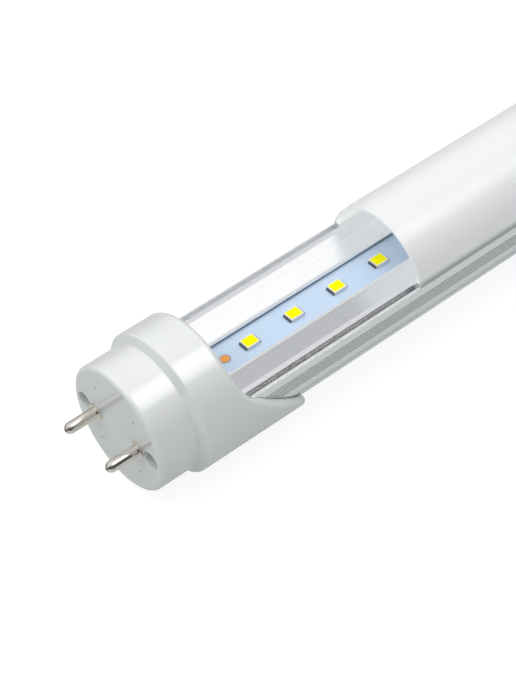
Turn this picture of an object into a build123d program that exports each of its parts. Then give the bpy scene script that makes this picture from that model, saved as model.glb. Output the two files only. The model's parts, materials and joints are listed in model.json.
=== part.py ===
from build123d import *
import os
from math import cos, radians, sin, sqrt

# Tube light of the 600 mm size with a two-pin cap at each end.
# X runs along the tube, Z is the way the light leaves, and the origin is the middle of the tube's axis.
# The left end is the open one, where the diffuser stops short and bares the board.
# Distances named along the tube are measured inwards from the flat face of the end cap.

# The whole tube
face_to_face = 589.8
body_radius = 13.25

# Contact pins
pin_spacing = 12.7
pin_diameter = 2.35
pin_reach = 7.2
pin_bore = 0.75
pin_tip_diameter = 1.2
pin_tip_taper = 1.15
pin_flange_diameter = 3.5
pin_flange_thickness = 0.5
pin_crimp_diameter = 2.6
pin_tail_diameter = 1.9
pin_tail_length = 1.0

# End cap
nose_proud = 0.18
nose_length = 8.85
nose_wall = 1.5
nose_edge_round = 0.9
face_thickness = 2.0
pin_boss_wall = 1.0
pin_boss_length = 1.2
shoulder_thickness = 1.5
collar_wall = 1.64
collar_length = 10.05
collar_front_slope = 1.1
collar_front_round = 0.4
collar_gap = 0.15
rim_round = 1.1
tongue_length = 17.1
tongue_root_height = 5.8
tongue_tip_height = -7.4
tongue_root_round = 10.0
tongue_tip_round = 4.0
vent_diameter = 0.55
vent_depth = 0.6
vent_circle_radius = 8.95
vent_angle = 49.5

# End screws
screw_edge_distance = 3.15
screw_diameter = 2.3
screw_bite = 9.0
screw_play = 0.15
screw_head_diameter = 3.5
screw_head_height = 1.5
screw_head_bevel = 0.5
screw_recess_diameter = 3.9
screw_recess_depth = 3.0
recess_wall = 0.95
screw_post_wall = 1.0
screw_seat_thickness = 1.0
crimp_play = 0.1
cross_width = 0.55
cross_length = 2.1
cross_depth = 0.8

# Aluminium body
body_wall = 1.1
seat_height = -0.25
seat_plate = 1.3
groove_side_wall = 1.0
lip_reach = 1.1
lip_gap = 0.45
lip_flat = 0.62
lip_thickness = 0.4
wing_wall = 1.1
rail_width = 1.15
rail_height = 3.1
rim_height = 3.0
rim_wall = 0.55
rim_lip_width = 0.3
rim_step = 0.3
slot_width = 1.15
slot_depth = 1.6
slot_floor_wall = 0.8
slot_side_wall = 0.9
barb_reach = 0.3
barb_height = 1.2
channel_wall = 1.1
channel_mouth = 1.2
channel_mouth_angle = 45.0
flute_width = 0.25
flute_depth = 0.16
flute_pitch_angle = 2.2
flute_count = 6
flute_first_angle = 4.9
low_flute_angle = -18.3

# Diffuser
diffuser_start = 65.3
diffuser_wall = 0.5
diffuser_inset = 0.05
diffuser_end_gap = 0.3
foot_play = 0.1
foot_rise = 0.6

# Light board
board_width = 10.0
board_thickness = 1.0
board_play = 0.1
board_inset = 1.65
pad_diameter = 1.8
pad_ring_diameter = 2.4
pad_thickness = 0.06
pad_place = 26.0

# Light-emitting packages
led_count = 48
first_led_place = 32.2
led_length = 3.1
led_width = 2.6
led_height = 0.75
window_length = 2.75
window_width = 2.25
window_depth = 0.3
phosphor_sink = 0.03
lead_length = 0.3
lead_width = 2.2
lead_thickness = 0.4

# Driver
sleeve_wall = 0.35
sleeve_play = 0.1
sleeve_inset = 0.65
channel_gap = 0.2
driver_length = 116.0
driver_width = 18.0
driver_thickness = 1.0
driver_inset = 1.65
driver_depth_gap = 0.9
first_part_place = 7.0
last_part_place = 5.5
driver_gap_count = 7
can_bevel = 0.35
fuse_diameter = 3.6
fuse_length = 8.0
film_capacitor_length = 11.0
film_capacitor_width = 5.0
film_capacitor_bevel = 0.5
rectifier_length = 5.0
rectifier_width = 4.0
rectifier_height = 1.6
bulk_capacitor_length = 20.0
chip_length = 5.0
chip_width = 4.0
chip_height = 1.5
transformer_length = 15.0
transformer_width = 10.0
core_leg = 2.5
winding_proud = 0.9
diode_length = 4.5
diode_width = 2.6
diode_height = 2.2
output_capacitor_length = 14.0

# Wires
mains_wire_diameter = 1.2
mains_wire_run = 2.8
mains_wire_turn = 1.8
led_wire_diameter = 1.0
led_wire_offset = 2.2
led_wire_front = 6.0
led_wire_turn = 1.8
led_solder_inset = 3.0
driver_solder_inset = 3.0

# Sizes that follow from the ones above
left_face = -face_to_face / 2
pin_radius = pin_diameter / 2
pin_offset = pin_spacing / 2
nose_radius = body_radius + nose_proud
bore_radius = body_radius + collar_gap
collar_radius = bore_radius + collar_wall
body_inset = nose_length + shoulder_thickness
collar_end = nose_length + collar_length
tongue_end = collar_end + tongue_length
boss_end = face_thickness + pin_boss_length
pin_tail_end = boss_end + pin_flange_thickness + pin_tail_length

screw_offset = body_radius - screw_edge_distance
screw_radius = screw_diameter / 2
channel_radius = screw_radius + channel_wall
recess_radius = screw_recess_diameter / 2
clearance_radius = screw_radius + screw_play
crimp_radius = pin_crimp_diameter / 2

groove_half = board_width / 2 + board_play
board_top = seat_height + board_thickness
groove_top = board_top + lip_gap
lip_inner = groove_half - lip_reach
lip_outer = lip_inner + lip_flat
lip_top = groove_top + lip_thickness
slot_outer = sqrt(body_radius**2 - rim_height**2) - rim_wall
slot_inner = slot_outer - slot_width
slot_floor = rim_height - slot_depth
wing_outer = slot_inner - rail_width
wing_slope = (rail_height - lip_top) / (wing_outer - lip_outer)
cavity_radius = body_radius - body_wall
roof = seat_height - seat_plate

sleeve_radius = cavity_radius - sleeve_play
sleeve_top = -channel_radius - channel_gap
sleeve_bore_radius = sleeve_radius - sleeve_wall
driver_top = sleeve_top - sleeve_wall
driver_under = driver_top - driver_thickness
driver_front = body_inset + driver_inset

far_beyond = 3 * body_radius


# A closed face in the cross-section from the points of its right half, listed from the centre outwards.
def mirrored_face(half):
    other = [(-y, z) for y, z in reversed(half)]
    return make_face(Polyline(*half, *other, close=True))


# Material of the cross-section between two heights, wider than the tube.
def band(low, high):
    return Pos(0, (low + high) / 2) * Rectangle(2 * far_beyond, high - low)


# A cross-section stretched along the tube between two distances from the left face.
def along_tube(section, start, end):
    return extrude(Plane.YZ.offset(left_face + start) * section, amount=end - start)


# A turned piece from its outline in (distance from the left face, radius), about a line beside the axis.
def turned(outline_face, sideways=0.0):
    return Pos(left_face, sideways, 0) * revolve(outline_face, axis=Axis.X)


# The same piece at the other end of the tube, turned half round so that its top stays up.
def at_right_end(piece):
    return Rot(0, 0, 180) * piece


# Depth under the driver board that a part of this width may take before it comes near the sleeve.
def depth_for(width):
    sleeve_floor = sqrt(sleeve_bore_radius**2 - width**2 / 4)
    return driver_under + sleeve_play + sleeve_floor - driver_depth_gap


def wing_underside(y):
    return lip_top + (y - lip_outer) * wing_slope - wing_wall


# Everything above the extrusion: the board's groove, the sloping wings, the slots for the diffuser
# and the step outside each slot's lip.
def trough_face():
    return mirrored_face([
        (groove_half, seat_height),
        (groove_half, groove_top),
        (lip_inner, groove_top),
        (lip_inner, lip_top),
        (lip_outer, lip_top),
        (wing_outer, rail_height),
        (slot_inner, rail_height),
        (slot_inner, slot_floor + barb_height),
        (slot_inner - barb_reach, slot_floor + barb_height),
        (slot_inner - barb_reach, slot_floor),
        (slot_outer, slot_floor),
        (slot_outer, rim_height),
        (slot_outer + rim_lip_width, rim_height),
        (slot_outer + rim_lip_width, rim_height - rim_step),
        (far_beyond, rim_height - rim_step),
        (far_beyond, far_beyond),
    ])


# The hollow under the board, which takes the driver.
def chamber_face():
    wall_start = groove_half + groove_side_wall
    step_inner = slot_inner - barb_reach - slot_side_wall
    ceiling = mirrored_face([
        (wall_start, roof),
        (wall_start, wing_underside(wall_start)),
        (step_inner, wing_underside(step_inner)),
        (step_inner, slot_floor - slot_floor_wall),
        (far_beyond, slot_floor - slot_floor_wall),
        (far_beyond, far_beyond),
    ])
    return Circle(cavity_radius) - ceiling


def flute_angles():
    fine = [flute_first_angle - step * flute_pitch_angle for step in range(flute_count)]
    return [*fine, low_flute_angle]


def body_section():
    section = Circle(body_radius) - chamber_face()
    for side in (-1, 1):
        centre = Pos(side * screw_offset, 0)
        section += (centre * Circle(channel_radius)) & Circle(body_radius)
    section -= trough_face()
    for side in (-1, 1):
        centre = Pos(side * screw_offset, 0)
        slit = Pos(channel_radius, 0) * Rectangle(2 * channel_radius, channel_mouth)
        section -= centre * Circle(screw_radius)
        section -= centre * Rot(0, 0, -90 - side * channel_mouth_angle) * slit
        for angle in flute_angles():
            cut = Pos(side * body_radius, 0) * Rectangle(2 * flute_depth, flute_width)
            section -= Rot(0, 0, side * angle) * cut
    return section


def heat_sink():
    return along_tube(body_section(), body_inset, face_to_face - body_inset)


# The milky cover: an arc with a barbed foot along each edge.
def diffuser():
    outer = body_radius - diffuser_inset
    section = (Circle(outer) - Circle(outer - diffuser_wall)) & band(rim_height, far_beyond)
    arc_middle = sqrt(outer**2 - rim_height**2) - diffuser_wall / 2
    foot_outer = slot_outer - foot_play
    foot_inner = slot_inner + foot_play
    foot_bottom = slot_floor + foot_play
    barb_top = slot_floor + barb_height - foot_play
    foot = make_face(Polyline(
        (foot_outer, foot_bottom),
        (foot_outer, rim_height),
        (arc_middle, rim_height),
        (arc_middle, rim_height + foot_rise),
        (foot_inner, rim_height + foot_rise),
        (foot_inner, barb_top),
        (foot_inner - barb_reach, barb_top - foot_play),
        (foot_inner - barb_reach, foot_bottom),
        close=True,
    ))
    section += foot
    section += mirror(foot, Plane.YZ)
    return along_tube(section, diffuser_start, face_to_face - body_inset - diffuser_end_gap)


def led_board():
    section = Pos(0, seat_height + board_thickness / 2) * Rectangle(board_width, board_thickness)
    start = body_inset + board_inset
    return along_tube(section, start, face_to_face - start)


# Round bare-metal marks on the board, one before the first lamp and one after the last.
def board_pads():
    start = Plane.XY.offset(board_top)
    pads = []
    for place in (pad_place, face_to_face - pad_place):
        spot = start * Pos(left_face + place, 0) * Circle(pad_diameter / 2)
        pads.append(extrude(spot, amount=pad_thickness))
    return Compound(children=pads)


def board_pad_rings():
    start = Plane.XY.offset(board_top)
    rings = []
    for place in (pad_place, face_to_face - pad_place):
        ring = Circle(pad_ring_diameter / 2) - Circle(pad_diameter / 2)
        rings.append(extrude(start * Pos(left_face + place, 0) * ring, amount=pad_thickness / 2))
    return Compound(children=rings)


def led_places():
    pitch = (face_to_face - 2 * first_led_place) / (led_count - 1)
    return [left_face + first_led_place + step * pitch for step in range(led_count)]


# A moulded package with an open window in its top.
def led_package():
    base = Plane.XY.offset(board_top)
    rim = Plane.XY.offset(board_top + led_height)
    housing = extrude(base * Rectangle(led_length, led_width), amount=led_height)
    return housing - extrude(rim * Rectangle(window_length, window_width), amount=-window_depth)


def led_packages():
    return Compound(children=[Pos(place, 0, 0) * led_package() for place in led_places()])


def led_phosphors():
    floor = Plane.XY.offset(board_top + led_height - window_depth)
    fill = extrude(floor * Rectangle(window_length, window_width), amount=window_depth - phosphor_sink)
    return Compound(children=[Pos(place, 0, 0) * fill for place in led_places()])


# The two soldered feet at the ends of each package.
def led_leads():
    base = Plane.XY.offset(board_top)
    leads = []
    for place in led_places():
        for side in (-1, 1):
            middle = place + side * (led_length + lead_length) / 2
            foot = base * Pos(middle, 0) * Rectangle(lead_length, lead_width)
            leads.append(extrude(foot, amount=lead_thickness))
    return Compound(children=leads)


# The outline of the cap's wall in (distance from the face, radius), with its rounded outer corners.
def cap_outline():
    nose_inner = nose_radius - nose_wall
    outline = make_face(Polyline(
        (0, 0),
        (0, nose_radius),
        (nose_length, nose_radius),
        (nose_length + collar_front_slope, collar_radius),
        (tongue_end, collar_radius),
        (tongue_end, bore_radius),
        (body_inset, bore_radius),
        (body_inset, nose_inner),
        (face_thickness, nose_inner),
        (face_thickness, 0),
        close=True,
    ))
    nose_corner = outline.vertices().sort_by_distance((0, nose_radius, 0))[0]
    outline = fillet(nose_corner, nose_edge_round)
    collar_front = (nose_length + collar_front_slope, collar_radius, 0)
    collar_corner = outline.vertices().sort_by_distance(collar_front)[0]
    return fillet(collar_corner, collar_front_round)


# What the cap keeps in side view: the whole collar on top and the long tongue below.
def cap_trim():
    edge = FilletPolyline(
        (collar_end, far_beyond),
        (collar_end, tongue_root_height),
        (tongue_end, tongue_tip_height),
        (tongue_end, -far_beyond),
        radius=[tongue_root_round, tongue_tip_round],
    )
    back = Polyline(
        (tongue_end, -far_beyond),
        (-pin_reach, -far_beyond),
        (-pin_reach, far_beyond),
        (collar_end, far_beyond),
    )
    side_view = make_face([*edge.edges(), *back.edges()])
    placed = Plane.XZ * side_view
    return Pos(left_face, 0, 0) * extrude(placed, amount=far_beyond, both=True)


# The outer edge of the rim all round the collar's mouth and the tongue.
def rim_edges(shell):
    def on_rim(edge):
        middle = edge @ 0.5
        out_from_axis = sqrt(middle.Y**2 + middle.Z**2)
        at_mouth = middle.X > left_face + nose_length + collar_length / 2
        return at_mouth and abs(out_from_axis - collar_radius) < collar_wall / 4
    return shell.edges().filter_by(on_rim)


# A round bar along the tube between two distances from the face, at a place in the cross-section.
def bar(radius, start, end, y=0.0, z=0.0):
    return along_tube(Pos(y, z) * Circle(radius), start, end)


# The moulded cap: face, nose, stepped collar and the tongue that wraps under the body.
def end_cap():
    shell = turned(cap_outline()) & cap_trim()
    shell = fillet(rim_edges(shell), rim_round)
    seat_end = screw_recess_depth + screw_seat_thickness
    for side in (-1, 1):
        shell += bar(recess_radius + recess_wall, face_thickness, seat_end, side * screw_offset)
        shell += bar(clearance_radius + screw_post_wall, seat_end, body_inset, side * screw_offset)
        shell += bar(pin_radius + pin_boss_wall, face_thickness, boss_end, side * pin_offset)
    for side in (-1, 1):
        shell -= bar(recess_radius, 0, screw_recess_depth, side * screw_offset)
        shell -= bar(clearance_radius, 0, body_inset, side * screw_offset)
        shell -= bar(pin_radius, 0, boss_end, side * pin_offset)
        shell -= bar(crimp_radius + crimp_play, boss_end, body_inset, side * pin_offset)
        for updown in (-1, 1):
            y = side * vent_circle_radius * cos(radians(vent_angle))
            z = updown * vent_circle_radius * sin(radians(vent_angle))
            shell -= bar(vent_diameter / 2, 0, vent_depth, y, z)
    return shell


# A hollow contact pin: a flange outside the cap's face, a crimped ring behind it and a tail for its wire.
# Its tip is drawn in by an arc that leaves the straight length without a corner.
def pin(side):
    bore = pin_bore / 2
    tip = pin_tip_diameter / 2
    flange = pin_flange_diameter / 2
    tail = pin_tail_diameter / 2
    taper_start = pin_tip_taper - pin_reach
    wall = Polyline(
        (taper_start, pin_radius),
        (-pin_flange_thickness, pin_radius),
        (-pin_flange_thickness, flange),
        (0, flange),
        (0, pin_radius),
        (boss_end, pin_radius),
        (boss_end, crimp_radius),
        (boss_end + pin_flange_thickness, crimp_radius),
        (boss_end + pin_flange_thickness, tail),
        (pin_tail_end, tail),
        (pin_tail_end, bore),
        (-pin_reach, bore),
        (-pin_reach, tip),
    )
    nose = TangentArc((taper_start, pin_radius), (-pin_reach, tip), tangent=(-1, 0))
    return turned(make_face([*wall.edges(), nose.edge()]), side * pin_offset)


# A cross-headed screw through the cap's post into the body's open channel.
def end_screw(side):
    head_top = screw_recess_depth - screw_head_height
    head = bar(screw_head_diameter / 2, head_top, screw_recess_depth, side * screw_offset)
    rim = head.edges().filter_by(GeomType.CIRCLE).sort_by(Axis.X)[0]
    head = chamfer(rim, screw_head_bevel)
    shank = bar(screw_radius, screw_recess_depth, body_inset + screw_bite, side * screw_offset)
    screw = head + shank
    for across, up in ((cross_length, cross_width), (cross_width, cross_length)):
        arm = Pos(side * screw_offset, 0) * Rectangle(across, up)
        screw -= along_tube(arm, head_top, head_top + cross_depth)
    return screw


def end_screws():
    return Compound(children=[end_screw(-1), end_screw(1)])


# The insulating sleeve that keeps the driver off the metal, lying on the floor of the chamber.
def driver_sleeve():
    lift = Pos(0, -sleeve_play)
    outer = (lift * Circle(sleeve_radius)) & band(-far_beyond, sleeve_top)
    inner = (lift * Circle(sleeve_radius - sleeve_wall)) & band(-far_beyond, driver_top)
    start = body_inset + sleeve_inset
    end = driver_front + driver_length + driver_inset
    return along_tube(outer - inner, start, end)


def driver_board():
    section = Pos(0, (driver_top + driver_under) / 2) * Rectangle(driver_width, driver_thickness)
    return along_tube(section, driver_front, driver_front + driver_length)


# Where each part on the driver starts: spread along its board with the same gap between all of them.
parts_length = fuse_length + film_capacitor_length + rectifier_length + bulk_capacitor_length
parts_length += chip_length + transformer_length + diode_length + output_capacitor_length
part_spacing = (driver_length - first_part_place - last_part_place - parts_length) / driver_gap_count
fuse_place = driver_front + first_part_place
film_capacitor_place = fuse_place + fuse_length + part_spacing
rectifier_place = film_capacitor_place + film_capacitor_length + part_spacing
bulk_capacitor_place = rectifier_place + rectifier_length + part_spacing
chip_place = bulk_capacitor_place + bulk_capacitor_length + part_spacing
transformer_place = chip_place + chip_length + part_spacing
diode_place = transformer_place + transformer_length + part_spacing
output_capacitor_place = diode_place + diode_length + part_spacing


# A block hung under the driver board, given where it starts along the tube and how far it is held off.
def hung_block(start, length, width, height, held_off=0.0):
    section = Pos(0, driver_under - held_off - height / 2) * Rectangle(width, height)
    return along_tube(section, start, start + length)


# A round can lying along the tube against the underside of the driver board.
def hung_can(start, length, diameter):
    can = bar(diameter / 2, start, start + length, 0, driver_under - diameter / 2)
    rims = can.edges().filter_by(GeomType.CIRCLE)
    return chamfer(rims, can_bevel)


def driver_fuse():
    return hung_can(fuse_place, fuse_length, fuse_diameter)


def film_capacitor():
    depth = depth_for(film_capacitor_width)
    block = hung_block(film_capacitor_place, film_capacitor_length, film_capacitor_width, depth)
    upright = block.edges().filter_by(Axis.Z)
    return chamfer(upright, film_capacitor_bevel)


def bridge_rectifier():
    return hung_block(rectifier_place, rectifier_length, rectifier_width, rectifier_height)


def bulk_capacitor():
    return hung_can(bulk_capacitor_place, bulk_capacitor_length, depth_for(0))


def driver_chip():
    return hung_block(chip_place, chip_length, chip_width, chip_height)


# Where the two windows of the transformer's core lie along the tube, and how wide each is.
window_start = transformer_place + core_leg
window_end = transformer_place + transformer_length - core_leg
core_depth = depth_for(transformer_width) - 2 * winding_proud


# The ferrite: an end yoke at each end, joined by a leg through the winding and a leg at each side.
def transformer_core():
    block = hung_block(transformer_place, transformer_length, transformer_width, core_depth, winding_proud)
    width = transformer_width / 2 - core_leg
    for side in (-1, 1):
        window = Pos(side * (core_leg / 2 + width / 2), 0) * Rectangle(width, 2 * far_beyond)
        block -= along_tube(window, window_start, window_end)
    return block


# The winding round the middle leg, proud of the core above and below.
def transformer_winding():
    length = window_end - window_start
    outer = hung_block(window_start, length, transformer_width - core_leg, depth_for(transformer_width))
    leg = hung_block(window_start, length, core_leg, core_depth, winding_proud)
    return outer - leg


def output_diode():
    return hung_block(diode_place, diode_length, diode_width, diode_height)


def output_capacitor():
    return hung_can(output_capacitor_place, output_capacitor_length, depth_for(0))


# A round wire along points in a plane across the tube's side, each corner an arc.
def wire(points, radii, diameter, y):
    path = FilletPolyline(*[(left_face + x, y, z) for x, z in points], radius=radii)
    start = Plane(origin=path @ 0, z_dir=path % 0)
    return sweep(start * Circle(diameter / 2), path=path)


# From the tail of a pin, down in front of the body and flat against the underside of the driver board.
def mains_wire(side):
    solder = driver_front + driver_solder_inset
    low = driver_under - mains_wire_diameter / 2
    front = pin_tail_end + mains_wire_run
    points = [
        (pin_tail_end, 0),
        (front, 0),
        (front, low),
        (solder, low),
    ]
    return wire(points, [mains_wire_turn] * 2, mains_wire_diameter, side * pin_offset)


# From the underside of the driver board, up round the end of the body and flat on to the light board.
def led_wire(side):
    solder = driver_front + driver_solder_inset
    low = driver_under - led_wire_diameter / 2
    high = board_top + led_wire_diameter / 2
    landing = body_inset + board_inset + led_solder_inset
    points = [
        (solder, low),
        (led_wire_front, low),
        (led_wire_front, high),
        (landing, high),
    ]
    return wire(points, [led_wire_turn] * 2, led_wire_diameter, side * led_wire_offset)


nodes = {
    "heat_sink": heat_sink(),
    "diffuser": diffuser(),
    "led_board": led_board(),
    "board_pads": board_pads(),
    "board_pad_rings": board_pad_rings(),
    "led_packages": led_packages(),
    "led_phosphors": led_phosphors(),
    "led_leads": led_leads(),
    "end_cap_left": end_cap(),
    "end_cap_right": at_right_end(end_cap()),
    "pin_left_front": pin(-1),
    "pin_left_rear": pin(1),
    "pin_right_front": at_right_end(pin(1)),
    "pin_right_rear": at_right_end(pin(-1)),
    "end_screws_left": end_screws(),
    "end_screws_right": at_right_end(end_screws()),
    "driver_sleeve": driver_sleeve(),
    "driver_board": driver_board(),
    "driver_fuse": driver_fuse(),
    "film_capacitor": film_capacitor(),
    "bridge_rectifier": bridge_rectifier(),
    "bulk_capacitor": bulk_capacitor(),
    "driver_chip": driver_chip(),
    "transformer_core": transformer_core(),
    "transformer_winding": transformer_winding(),
    "output_diode": output_diode(),
    "output_capacitor": output_capacitor(),
    "mains_wire_front": mains_wire(-1),
    "mains_wire_rear": mains_wire(1),
    "led_wire_front": led_wire(-1),
    "led_wire_rear": led_wire(1),
}

os.makedirs("parts", exist_ok=True)
for name, solid in nodes.items():
    export_step(solid, f"parts/{name}.step")
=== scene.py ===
import json
import logging
import math
from dataclasses import dataclass
from enum import Enum

import bpy
from mathutils import Matrix, Vector


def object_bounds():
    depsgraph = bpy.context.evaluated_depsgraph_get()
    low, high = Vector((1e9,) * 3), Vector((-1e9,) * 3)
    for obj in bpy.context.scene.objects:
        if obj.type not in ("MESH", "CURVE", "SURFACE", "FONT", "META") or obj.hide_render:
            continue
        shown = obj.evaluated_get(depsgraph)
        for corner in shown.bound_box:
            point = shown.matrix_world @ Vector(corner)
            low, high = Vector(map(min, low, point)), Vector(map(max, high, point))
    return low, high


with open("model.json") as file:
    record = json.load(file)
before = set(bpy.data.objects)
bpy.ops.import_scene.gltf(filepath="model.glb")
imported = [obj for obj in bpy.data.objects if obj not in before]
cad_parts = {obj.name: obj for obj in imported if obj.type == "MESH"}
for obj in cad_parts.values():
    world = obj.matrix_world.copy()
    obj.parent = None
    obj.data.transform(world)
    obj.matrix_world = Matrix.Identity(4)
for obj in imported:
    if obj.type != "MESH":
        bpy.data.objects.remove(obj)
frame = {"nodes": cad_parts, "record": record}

LOG = logging.getLogger("tube_light")
CAD_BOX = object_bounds()
MM = 0.001

Colour = tuple[float, float, float]
Place = tuple[float, float, float]
Socket = bpy.types.NodeSocket

WHITE: Colour = (1.0, 1.0, 1.0)

# Noise seldom leaves this range, so it is what counts as its dark and bright parts.
NOISE_DARK = 0.3
NOISE_BRIGHT = 0.7
TONE_DETAIL = 1.0
TEXTURE_DETAIL = 2.0

SHELTER_SAMPLES = 8

# No finish is glossier than this, however uneven its gloss is.
SMOOTHEST = 0.02

# How far back along the tube a face has to point before it starts to count as the open end,
# and before it counts in full.
END_FACE_STARTS = -0.7
END_FACE_FULL = -0.95


class Slot(Enum):
    """The record's material slots, by the finish that each one names."""

    BODY = "bare_aluminium"
    COVER = "milky_cover"
    BOARD = "board_mask"
    COPPER = "bare_copper"
    PAD_EDGE = "pad_edge"
    HOUSING = "led_housing"
    PHOSPHOR = "phosphor"
    SOLDER = "solder"
    CAP = "cap_plastic"
    PIN = "pin_nickel"
    SCREW = "screw_steel"
    SLEEVE = "sleeve_film"
    LAMINATE = "driver_laminate"
    FUSE = "fuse_body"
    FILM = "film_case"
    CHIP = "chip_black"
    CAN = "can_sleeve"
    FERRITE = "ferrite"
    TAPE = "winding_tape"
    WIRE_WHITE = "wire_white"
    WIRE_BLACK = "wire_black"
    WIRE_RED = "wire_red"


class Grain(Enum):
    """Which way a finish's marks run: how many times finer they are across X, Y and Z."""

    EVEN = (1.0, 1.0, 1.0)
    ALONG_TUBE = (0.012, 1.0, 1.0)


@dataclass(frozen=True)
class Shelter:
    """What counts as closed in: how far walls are looked for, and the open shares that are dark and clear."""

    reach_mm: float
    closed: float
    clear: float
    own_walls: bool = True


@dataclass(frozen=True)
class PaintedCornerShade:
    """Painted shade in the corners of a piece: what a colour is multiplied by in the closest ones, front and
    rear.
    """

    shelter: Shelter
    half_mm: float
    front: Colour
    rear: Colour


@dataclass(frozen=True)
class PaintedGlow:
    """Painted light: an emission that stands in for light coming through a thin wall, on its sheltered side and
    on its cut end.
    """

    shelter: Shelter
    strength: float
    cut_edge: float
    colour: Colour = WHITE


@dataclass(frozen=True)
class PaintedLowShade:
    """Painted shade: a darker band low on a piece's outer side, where its wall curves in to a slot."""

    shelter: Shelter
    low_mm: float
    high_mm: float
    tone: Colour


@dataclass
class Graph:
    """A node tree, with short calls to add and join nodes."""

    tree: bpy.types.NodeTree
    material: bpy.types.Material | None = None

    @classmethod
    def named(cls, name: str) -> "Graph":
        """Starts a new material.

        Args:
            name: the material's name.

        Returns:
            The graph of its nodes.
        """
        material = bpy.data.materials.new(name)
        material.use_nodes = True
        return cls(material.node_tree, material)

    @property
    def shader(self) -> bpy.types.Node:
        """The material's one surface shader."""
        return self.tree.nodes["Principled BSDF"]

    def add(self, kind: str, **settings: object) -> bpy.types.Node:
        """Adds one node.

        Args:
            kind: the node's type name.
            settings: properties of the node.

        Returns:
            The new node.
        """
        node = self.tree.nodes.new(kind)
        for key, value in settings.items():
            setattr(node, key, value)
        return node

    def join(self, source: Socket, target: Socket) -> None:
        """Links one socket to another.

        Args:
            source: where the value comes from.
            target: where it goes.
        """
        self.tree.links.new(source, target)

    def feed(self, target: Socket, value: float | Colour | Socket) -> None:
        """Gives an input a fixed number or colour, or another node's value.

        Args:
            target: the input.
            value: the number, the linear red, green and blue, or the other node's socket.
        """
        if isinstance(value, Socket):
            self.join(value, target)
        elif isinstance(value, tuple):
            target.default_value = (*value, 1)
        else:
            target.default_value = value

    def coordinates(self, kind: str) -> Socket:
        """Gives the place of each point.

        Args:
            kind: Blender's name for the coordinates.

        Returns:
            The vector's socket.
        """
        return self.add("ShaderNodeTexCoord").outputs[kind]

    def axis(self, vector: Socket, name: str) -> Socket:
        """Takes one part out of a vector.

        Args:
            vector: the vector's socket.
            name: X, Y or Z.

        Returns:
            The part's socket.
        """
        split = self.add("ShaderNodeSeparateXYZ")
        self.join(vector, split.inputs[0])
        return split.outputs[name]

    def maths(self, operation: str, *values: float | Socket) -> Socket:
        """Works out one number from others.

        Args:
            operation: Blender's name for the sum.
            values: fixed numbers or other nodes' values, in the sum's own order.

        Returns:
            The result's socket.
        """
        node = self.add("ShaderNodeMath", operation=operation)
        for target, value in zip(node.inputs, values):
            self.feed(target, value)
        return node.outputs[0]

    def ramp(
        self,
        value: Socket,
        start: float,
        end: float,
        low: float = 0.0,
        high: float = 1.0,
        kind: str = "LINEAR",
    ) -> Socket:
        """Maps one range on to another, and stays level beyond its ends.

        Args:
            value: what is mapped.
            start: the value that becomes low.
            end: the value that becomes high.
            low: the result at the start.
            high: the result at the end.
            kind: Blender's name for the way from one to the other.

        Returns:
            The mapped value's socket.
        """
        node = self.add("ShaderNodeMapRange", interpolation_type=kind)
        ranges = {"From Min": start, "From Max": end, "To Min": low, "To Max": high, "Value": value}
        for name, setting in ranges.items():
            self.feed(node.inputs[name], setting)
        return node.outputs["Result"]

    def place(self, grain: Grain) -> Socket:
        """Gives the object's own coordinates, drawn out along the grain.

        Args:
            grain: the way the marks run.

        Returns:
            The vector socket to drive textures with.
        """
        mapping = self.add("ShaderNodeMapping")
        mapping.inputs["Scale"].default_value = grain.value
        self.join(self.coordinates("Object"), mapping.inputs["Vector"])
        return mapping.outputs["Vector"]

    def noise(self, where: Socket, mark_mm: float, detail: float) -> Socket:
        """Adds soft noise with marks of a real size.

        Args:
            where: the coordinates.
            mark_mm: the size of one mark.
            detail: how many finer octaves it has.

        Returns:
            The noise value's socket.
        """
        node = self.add("ShaderNodeTexNoise")
        node.inputs["Scale"].default_value = 1 / (mark_mm * MM)
        node.inputs["Detail"].default_value = detail
        self.join(where, node.inputs["Vector"])
        return node.outputs["Fac"]

    def spread(self, value: Socket, low: float, high: float) -> Socket:
        """Maps the middle of a noise on to a range.

        Args:
            value: the noise.
            low: what its dark parts become.
            high: what its bright parts become.

        Returns:
            The mapped value's socket.
        """
        return self.ramp(value, NOISE_DARK, NOISE_BRIGHT, low, high)

    def blend_colours(
        self,
        factor: float | Socket,
        first: Colour | Socket,
        second: Colour | Socket,
        way: str = "MIX",
    ) -> Socket:
        """Mixes two colours by a factor.

        Args:
            factor: 0 for the first colour, 1 for the second.
            first: linear red, green and blue, or another node's colour.
            second: the same.
            way: Blender's name for the way of mixing.

        Returns:
            The mixed colour's socket.
        """
        node = self.add("ShaderNodeMix", data_type="RGBA", blend_type=way)
        for name, value in (("Factor", factor), ("A", first), ("B", second)):
            self.feed(node.inputs[name], value)
        return node.outputs["Result"]

    def openness(self, shelter: Shelter, hidden: float = 0.0, free: float = 1.0) -> Socket:
        """Tells how far a point lies in the open.

        Args:
            shelter: what counts as closed in.
            hidden: the value in the closest corners.
            free: the value in the open.

        Returns:
            The value's socket.
        """
        around = self.add("ShaderNodeAmbientOcclusion", samples=SHELTER_SAMPLES, only_local=shelter.own_walls)
        around.inputs["Distance"].default_value = shelter.reach_mm * MM
        return self.ramp(around.outputs["AO"], shelter.closed, shelter.clear, hidden, free)

    def open_end_face(self) -> Socket:
        """Finds the faces that look along the tube at its open end.

        Returns:
            The socket of a value that is 1 on those faces and 0 on the rest.
        """
        normal = self.add("ShaderNodeNewGeometry").outputs["True Normal"]
        return self.ramp(self.axis(normal, "X"), END_FACE_STARTS, END_FACE_FULL)

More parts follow.
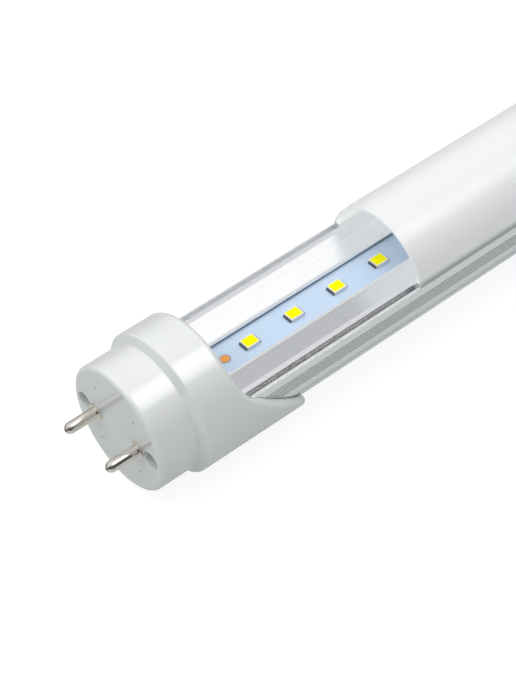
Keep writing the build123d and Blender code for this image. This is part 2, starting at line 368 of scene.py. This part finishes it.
    def paint_corner_shade(self, colour: Socket, corner_shade: PaintedCornerShade) -> Socket:
        """Paints shade into a colour where walls close in on the surface.

        Args:
            colour: the unshaded colour's socket.
            corner_shade: how far the painted shade reaches and what it does to the colour.

        Returns:
            The socket of the colour with its painted shade.
        """
        half = corner_shade.half_mm * MM
        across = self.ramp(self.axis(self.coordinates("Object"), "Y"), -half, half)
        # Painted shade: its tone changes from front to rear, because shade falls differently on the two sides.
        tone = self.blend_colours(across, corner_shade.front, corner_shade.rear)
        share = self.blend_colours(self.openness(corner_shade.shelter), tone, WHITE)
        return self.blend_colours(1.0, colour, share, "MULTIPLY")

    def paint_low_shade(self, colour: Socket, shade_band: PaintedLowShade) -> Socket:
        """Paints a darker band of shade low on a piece's outer side.

        Args:
            colour: the plain colour's socket.
            shade_band: where the painted shade lies and how dark it is.

        Returns:
            The socket of the colour with its painted shade.
        """
        # Painted shade, darker towards the bottom of the outer side and left off the sheltered inside.
        height = self.axis(self.coordinates("Object"), "Z")
        above = self.ramp(height, shade_band.low_mm * MM, shade_band.high_mm * MM, kind="SMOOTHSTEP")
        rising = self.blend_colours(above, shade_band.tone, WHITE)
        outside = self.blend_colours(self.openness(shade_band.shelter), WHITE, rising)
        return self.blend_colours(1.0, colour, outside, "MULTIPLY")

    def bump(self, height: Socket, depth_mm: float) -> None:
        """Raises the surface by a height field of a real depth.

        Args:
            height: the field, from 0 to 1.
            depth_mm: how far 1 stands above 0.
        """
        node = self.add("ShaderNodeBump")
        node.inputs["Distance"].default_value = depth_mm * MM
        self.join(height, node.inputs["Height"])
        self.join(node.outputs["Normal"], self.shader.inputs["Normal"])


@dataclass(frozen=True)
class Finish:
    """One surface finish: its colour, its gloss, slow changes of tone and a fine texture."""

    slot: Slot
    colour: Colour
    roughness: float = 0.4
    metallic: float = 0.0
    coat: float = 0.0
    coat_roughness: float = 0.05
    coat_ior: float = 1.5
    scatter: float = 0.0
    scatter_mm: float = 1.0
    specular: float = 0.5
    # Painted shade in sheltered corners, a painted glow of light through a thin wall, and a painted dark band
    # low on the outer side.
    corner_shade: PaintedCornerShade | None = None
    glow: PaintedGlow | None = None
    painted_low_shade: PaintedLowShade | None = None
    grain: Grain = Grain.EVEN
    tone_mm: float = 6.0
    tone: float = 0.02
    texture_mm: float = 0.3
    uneven_gloss: float = 0.03
    bump_mm: float = 0.002

    def material(self) -> bpy.types.Material:
        """Builds the finish's material.

        Returns:
            The material, with its nodes joined up.
        """
        graph = Graph.named(self.slot.value)
        shader = graph.shader
        fixed = {
            "Metallic": self.metallic,
            "Coat Weight": self.coat,
            "Coat Roughness": self.coat_roughness,
            "Coat IOR": self.coat_ior,
            "Subsurface Weight": self.scatter,
            "Subsurface Scale": self.scatter_mm * MM,
            "Subsurface Radius": (1, 1, 1),
            "Specular IOR Level": self.specular,
        }
        for name, value in fixed.items():
            shader.inputs[name].default_value = value
        where = graph.place(self.grain)
        graph.join(self.tinted(graph, where), shader.inputs["Base Color"])
        # Sheltered corners lose their metal sheen where the painted shade goes.
        if self.corner_shade:
            graph.join(graph.openness(self.corner_shade.shelter, 0.0, self.metallic), shader.inputs["Metallic"])
        # Painted light: the sheltered inside and the cut end emit, standing in for light that comes through the
        # wall.
        if self.glow:
            graph.feed(shader.inputs["Emission Color"], self.glow.colour)
            inside = graph.openness(self.glow.shelter, self.glow.strength, 0.0)
            painted_glow_strength = graph.maths("MULTIPLY_ADD", graph.open_end_face(), self.glow.cut_edge, inside)
            graph.join(painted_glow_strength, shader.inputs["Emission Strength"])
        fine = graph.noise(where, self.texture_mm, TEXTURE_DETAIL)
        smoothest = max(SMOOTHEST, self.roughness - self.uneven_gloss)
        roughest = self.roughness + self.uneven_gloss
        graph.join(graph.spread(fine, smoothest, roughest), shader.inputs["Roughness"])
        graph.bump(fine, self.bump_mm)
        return graph.material

    def tinted(self, graph: Graph, where: Socket) -> Socket:
        """Joins up the colour, with its slow changes, its painted corner shade and its painted low shade.

        Args:
            graph: the material's node tree.
            where: the coordinates that the slow changes follow.

        Returns:
            The colour's socket.
        """
        slow = graph.noise(where, self.tone_mm, TONE_DETAIL)
        darker = tuple(part * (1 - self.tone) for part in self.colour)
        paler = tuple(min(1.0, part * (1 + self.tone)) for part in self.colour)
        colour = graph.blend_colours(graph.spread(slow, 0.0, 1.0), darker, paler)
        # Painted shade in the sheltered corners, then a painted darker band low on the outer side.
        if self.corner_shade:
            colour = graph.paint_corner_shade(colour, self.corner_shade)
        if self.painted_low_shade:
            colour = graph.paint_low_shade(colour, self.painted_low_shade)
        return colour


UNDER_COVER = Shelter(reach_mm=40.0, closed=0.85, clear=0.97)

FINISHES = [
    Finish(
        Slot.BODY, (0.965, 0.975, 0.985), 0.3, metallic=1.0, grain=Grain.ALONG_TUBE, tone_mm=1.1, tone=0.02,
        texture_mm=0.12, uneven_gloss=0.04, bump_mm=0.0006,
        # Painted shade in the front slots and grooves; the rear ones keep their colour.
        corner_shade=PaintedCornerShade(Shelter(2.0, 0.2, 0.4), 12.0, front=(0.15, 0.155, 0.155), rear=WHITE),
    ),
    Finish(
        Slot.COVER, (0.935, 0.94, 0.94), 0.24, specular=0.8, scatter=0.5, scatter_mm=1.5, tone=0.006,
        bump_mm=0.001,
        # Painted light: the cover's sheltered inside and cut end glow as if lit through the wall.
        glow=PaintedGlow(UNDER_COVER, strength=0.22, cut_edge=0.2),
        # Painted shade: a darker band low on the cover's outer side, above the slot.
        painted_low_shade=PaintedLowShade(UNDER_COVER, low_mm=2.9, high_mm=4.8, tone=(0.36, 0.40, 0.39)),
    ),
    Finish(
        Slot.BOARD, (0.55, 0.69, 0.86), 0.38, coat=0.15, tone_mm=3.0, tone=0.02,
        # Painted shadow on the board under the far lip, and a lighter painted shade beside the LEDs and the
        # near lip.
        corner_shade=PaintedCornerShade(
            Shelter(1.0, 0.25, 0.65, own_walls=False), 6.0, front=(0.6, 0.65, 0.7), rear=(0.0, 0.04, 0.15),
        ),
    ),
    Finish(Slot.COPPER, (0.95, 0.38, 0.09), 0.38, metallic=0.4, tone_mm=0.4, tone=0.12, bump_mm=0.01),
    Finish(Slot.PAD_EDGE, (0.38, 0.38, 0.42), 0.4, metallic=0.3, tone_mm=0.4, tone=0.1),
    Finish(Slot.HOUSING, (0.88, 0.88, 0.86), 0.3, scatter=0.2, scatter_mm=0.3, tone_mm=1.0),
    Finish(Slot.PHOSPHOR, (1.0, 0.96, 0.0), 0.35, specular=0.06, tone_mm=0.5, tone=0.02, texture_mm=0.06),
    Finish(Slot.SOLDER, (0.16, 0.16, 0.17), 0.35, metallic=1.0, tone_mm=0.3, tone=0.1, bump_mm=0.01),
    Finish(
        Slot.CAP, (0.82, 0.835, 0.83), 0.34, coat=1.0, coat_roughness=0.04, coat_ior=1.7, scatter=0.25,
        scatter_mm=1.5, tone_mm=12.0, tone=0.008, texture_mm=0.25, bump_mm=0.0008,
        # Painted shade in the cap's corners and recesses.
        corner_shade=PaintedCornerShade(Shelter(3.0, 0.3, 0.75), 15.0, front=(0.9, 0.89, 0.84), rear=(0.9, 0.89, 0.84)),
    ),
    Finish(
        Slot.PIN, (0.86, 0.81, 0.74), 0.11, metallic=1.0, grain=Grain.ALONG_TUBE, tone_mm=0.8, tone=0.05,
        texture_mm=0.1, bump_mm=0.0004,
    ),
    Finish(Slot.SCREW, (0.60, 0.60, 0.62), 0.3, metallic=1.0, tone_mm=0.5, tone=0.08),
    Finish(Slot.SLEEVE, (0.75, 0.75, 0.70), 0.3),
    Finish(Slot.LAMINATE, (0.55, 0.46, 0.20), 0.45, tone_mm=0.6, tone=0.1),
    Finish(Slot.FUSE, (0.02, 0.16, 0.08), 0.3),
    Finish(Slot.FILM, (0.68, 0.33, 0.02), 0.25),
    Finish(Slot.CHIP, (0.02, 0.02, 0.02), 0.55, texture_mm=0.15, bump_mm=0.01),
    Finish(Slot.CAN, (0.02, 0.02, 0.03), 0.25),
    Finish(Slot.FERRITE, (0.03, 0.03, 0.035), 0.6, texture_mm=0.2, bump_mm=0.01),
    Finish(Slot.TAPE, (0.75, 0.52, 0.04), 0.3),
    Finish(Slot.WIRE_WHITE, (0.78, 0.78, 0.76), 0.4),
    Finish(Slot.WIRE_BLACK, (0.02, 0.02, 0.02), 0.4),
    Finish(Slot.WIRE_RED, (0.45, 0.01, 0.01), 0.4),
]


@dataclass
class FrameDress:
    """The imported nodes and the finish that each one's slot asks for."""

    finishes: dict[str, bpy.types.Material]

    def dress(self) -> None:
        """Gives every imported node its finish."""
        for entry in frame["record"]["subparts"]:
            node = frame["nodes"][entry["node"]]
            node.data.materials.clear()
            node.data.materials.append(self.finishes[entry["material_slot"]])
            LOG.info("%s takes %s", entry["node"], entry["material_slot"])


@dataclass
class Studio:
    """The floor, the soft lamp, the pale sky and the camera.

    Values that begin with sky light the object, and those that begin with shine are what shiny surfaces mirror.
    Places are in metres and angles are in radians, apart from the soft box's, which are in degrees.
    """

    floor_size: float = 12.0
    floor_tone: float = 0.25
    floor_roughness: float = 0.9
    floor_glow: float = 0.84
    floor_bounce: float = 0.34
    floor_shine: float = 0.35
    floor_tint: Colour = (0.92, 1.0, 0.97)
    pool_m: float = 0.035
    pool_end_m: float = 0.11
    pool_loss: float = 0.9
    sky_low: float = 0.12
    sky_rise: float = 0.59
    shine_low: float = 0.07
    shine_rise: float = 0.82
    shine_curve: float = 0.55
    dark_side: float = 4.0
    dark_side_starts: float = 0.2
    dark_side_full: float = -0.5
    box_aim: Place = (0.38, -0.27, 0.885)
    box_edge: float = 20.0
    box_core: float = 0.0
    box_shine: float = 2.6
    horizon_tint: Colour = (0.93, 0.95, 1.0)
    lamp_place: Place = (-0.35, 0.15, 1.0)
    lamp_aim: Place = (-0.2, 0.0, 0.0)
    lamp_power: float = 12.3
    lamp_side: float = 1.9
    lens_mm: float = 102.43
    sensor_mm: float = 36.0
    near_clip: float = 0.01
    eye: Place = (-0.42191, -0.20909, 0.27041)
    yaw: float = 0.6567
    pitch: float = -0.7989
    roll: float = -0.0607

    def camera(self) -> None:
        """Sets the camera where the photo was taken from."""
        data = bpy.data.cameras.new("view")
        data.lens = self.lens_mm
        data.sensor_width = self.sensor_mm
        data.clip_start = self.near_clip
        camera = bpy.data.objects.new("view", data)
        forward = Vector((
            math.sin(self.yaw) * math.cos(self.pitch),
            math.cos(self.yaw) * math.cos(self.pitch),
            math.sin(self.pitch),
        ))
        level = forward.cross(Vector((0, 0, 1))).normalized()
        upright = level.cross(forward)
        right = level * math.cos(self.roll) + upright * math.sin(self.roll)
        up = upright * math.cos(self.roll) - level * math.sin(self.roll)
        turn = Matrix((right, up, -forward)).transposed()
        camera.matrix_world = Matrix.Translation(self.eye) @ turn.to_4x4()
        bpy.context.scene.collection.objects.link(camera)
        bpy.context.scene.camera = camera

    def pick(self, graph: Graph, lit: float, shown: float, mirrored: float) -> Socket:
        """Gives one strength to rays that light things, one to the camera and one to shiny surfaces.

        Args:
            graph: the node tree to add to.
            lit: the strength for the light that falls on the object.
            shown: the strength for the camera.
            mirrored: the strength for glossy and transmission rays.

        Returns:
            The strength's socket.
        """
        rays = graph.add("ShaderNodeLightPath")
        shiny = graph.maths("MAXIMUM", rays.outputs["Is Glossy Ray"], rays.outputs["Is Transmission Ray"])
        last = graph.add("ShaderNodeMix")
        last.inputs["B"].default_value = shown
        graph.join(rays.outputs["Is Camera Ray"], last.inputs["Factor"])
        graph.join(graph.ramp(shiny, 0.0, 1.0, lit, mirrored), last.inputs["A"])
        return last.outputs["Result"]

    def white_to_camera(self, graph: Graph, tint: Colour | Socket) -> Socket:
        """Keeps a tint out of what the camera sees straight on.

        Args:
            graph: the node tree to add to.
            tint: the colour for all other rays.

        Returns:
            The colour's socket.
        """
        seen = graph.add("ShaderNodeLightPath").outputs["Is Camera Ray"]
        return graph.blend_colours(seen, tint, WHITE)

    def world(self) -> None:
        """Lights everything from a pale sky that is brighter overhead and looks white."""
        world = bpy.data.worlds.new("pale_room")
        world.use_nodes = True
        bpy.context.scene.world = world
        graph = Graph(world.node_tree)
        direction = graph.coordinates("Generated")
        height = graph.maths("MAXIMUM", graph.axis(direction, "Z"), 0.0)
        dark_side = graph.ramp(
            graph.axis(direction, "Y"), self.dark_side_starts, self.dark_side_full, kind="SMOOTHSTEP",
        )
        steeper = self.pick(graph, 0.0, 0.0, self.dark_side)
        plain = self.pick(graph, 1.0, 1.0, self.shine_curve)
        curve = graph.maths("POWER", height, graph.maths("MULTIPLY_ADD", dark_side, steeper, plain))
        rise = self.pick(graph, self.sky_rise, 0.0, self.shine_rise)
        low = self.pick(graph, self.sky_low, 1.0, self.shine_low)
        strength = graph.maths("ADD", graph.maths("MULTIPLY_ADD", curve, rise, low), self.soft_box(graph))
        background = graph.tree.nodes["Background"]
        tint = graph.blend_colours(height, self.horizon_tint, WHITE)
        graph.join(self.white_to_camera(graph, tint), background.inputs["Color"])
        graph.join(strength, background.inputs["Strength"])

    def soft_box(self, graph: Graph) -> Socket:
        """Adds a soft bright patch of sky that only shiny surfaces mirror.

        Args:
            graph: the world's node tree.

        Returns:
            The socket of the patch's strength.
        """
        toward = graph.add("ShaderNodeVectorMath", operation="DOT_PRODUCT")
        toward.inputs[1].default_value = Vector(self.box_aim).normalized()
        graph.join(graph.coordinates("Generated"), toward.inputs[0])
        edge, core = (math.cos(math.radians(angle)) for angle in (self.box_edge, self.box_core))
        patch = graph.ramp(toward.outputs["Value"], edge, core, kind="SMOOTHSTEP")
        return graph.maths("MULTIPLY", patch, self.pick(graph, 0.0, 0.0, self.box_shine))

    def floor(self) -> None:
        """Lays a pale floor under the tube, which shows white and still takes a shadow."""
        half = self.floor_size / 2
        low = CAD_BOX[0][2]
        mesh = bpy.data.meshes.new("floor")
        corners = [(-half, -half, low), (half, -half, low), (half, half, low), (-half, half, low)]
        mesh.from_pydata(corners, [], [(0, 1, 2, 3)])
        floor = bpy.data.objects.new("floor", mesh)
        bpy.context.scene.collection.objects.link(floor)
        graph = Graph.named("pale_floor")
        graph.feed(graph.shader.inputs["Base Color"], (self.floor_tone,) * 3)
        graph.shader.inputs["Roughness"].default_value = self.floor_roughness
        graph.shader.inputs["Specular IOR Level"].default_value = 0.0
        graph.join(self.white_to_camera(graph, self.floor_tint), graph.shader.inputs["Emission Color"])
        glow = self.pick(graph, self.floor_bounce, self.floor_glow, self.floor_shine)
        graph.join(self.pool(graph, glow), graph.shader.inputs["Emission Strength"])
        mesh.materials.append(graph.material)

    def pool(self, graph: Graph, glow: Socket) -> Socket:
        """Lets the floor that shiny surfaces mirror grow dark away from the tube.

        Args:
            graph: the floor's node tree.
            glow: the floor's strength beside the tube.

        Returns:
            The strength's socket.
        """
        away = graph.maths("ABSOLUTE", graph.axis(graph.coordinates("Object"), "Y"))
        fade = graph.ramp(away, self.pool_m, self.pool_end_m, kind="SMOOTHSTEP")
        most = self.pick(graph, 0.0, 0.0, self.floor_shine * self.pool_loss)
        return graph.maths("SUBTRACT", glow, graph.maths("MULTIPLY", fade, most))

    def lamp(self) -> None:
        """Hangs one square soft lamp over the tube, which shiny surfaces don't mirror."""
        data = bpy.data.lights.new("key", "AREA")
        data.size = self.lamp_side
        data.energy = self.lamp_power
        lamp = bpy.data.objects.new("key", data)
        lamp.visible_glossy = False
        lamp.location = self.lamp_place
        beam = Vector(self.lamp_aim) - Vector(self.lamp_place)
        lamp.rotation_euler = beam.to_track_quat("-Z", "Y").to_euler()
        bpy.context.scene.collection.objects.link(lamp)

    def build(self) -> None:
        """Sets up the whole studio."""
        self.camera()
        self.world()
        self.floor()
        self.lamp()
        bpy.context.scene.view_settings.view_transform = "Standard"
        LOG.info("studio is up")


def main() -> None:
    """Builds the studio and dresses the tube light."""
    Studio().build()
    finishes = {finish.slot.value: finish.material() for finish in FINISHES}
    FrameDress(finishes).dress()


if __name__ == "__main__":
    logging.basicConfig(level=logging.INFO, format="%(message)s")
    main()
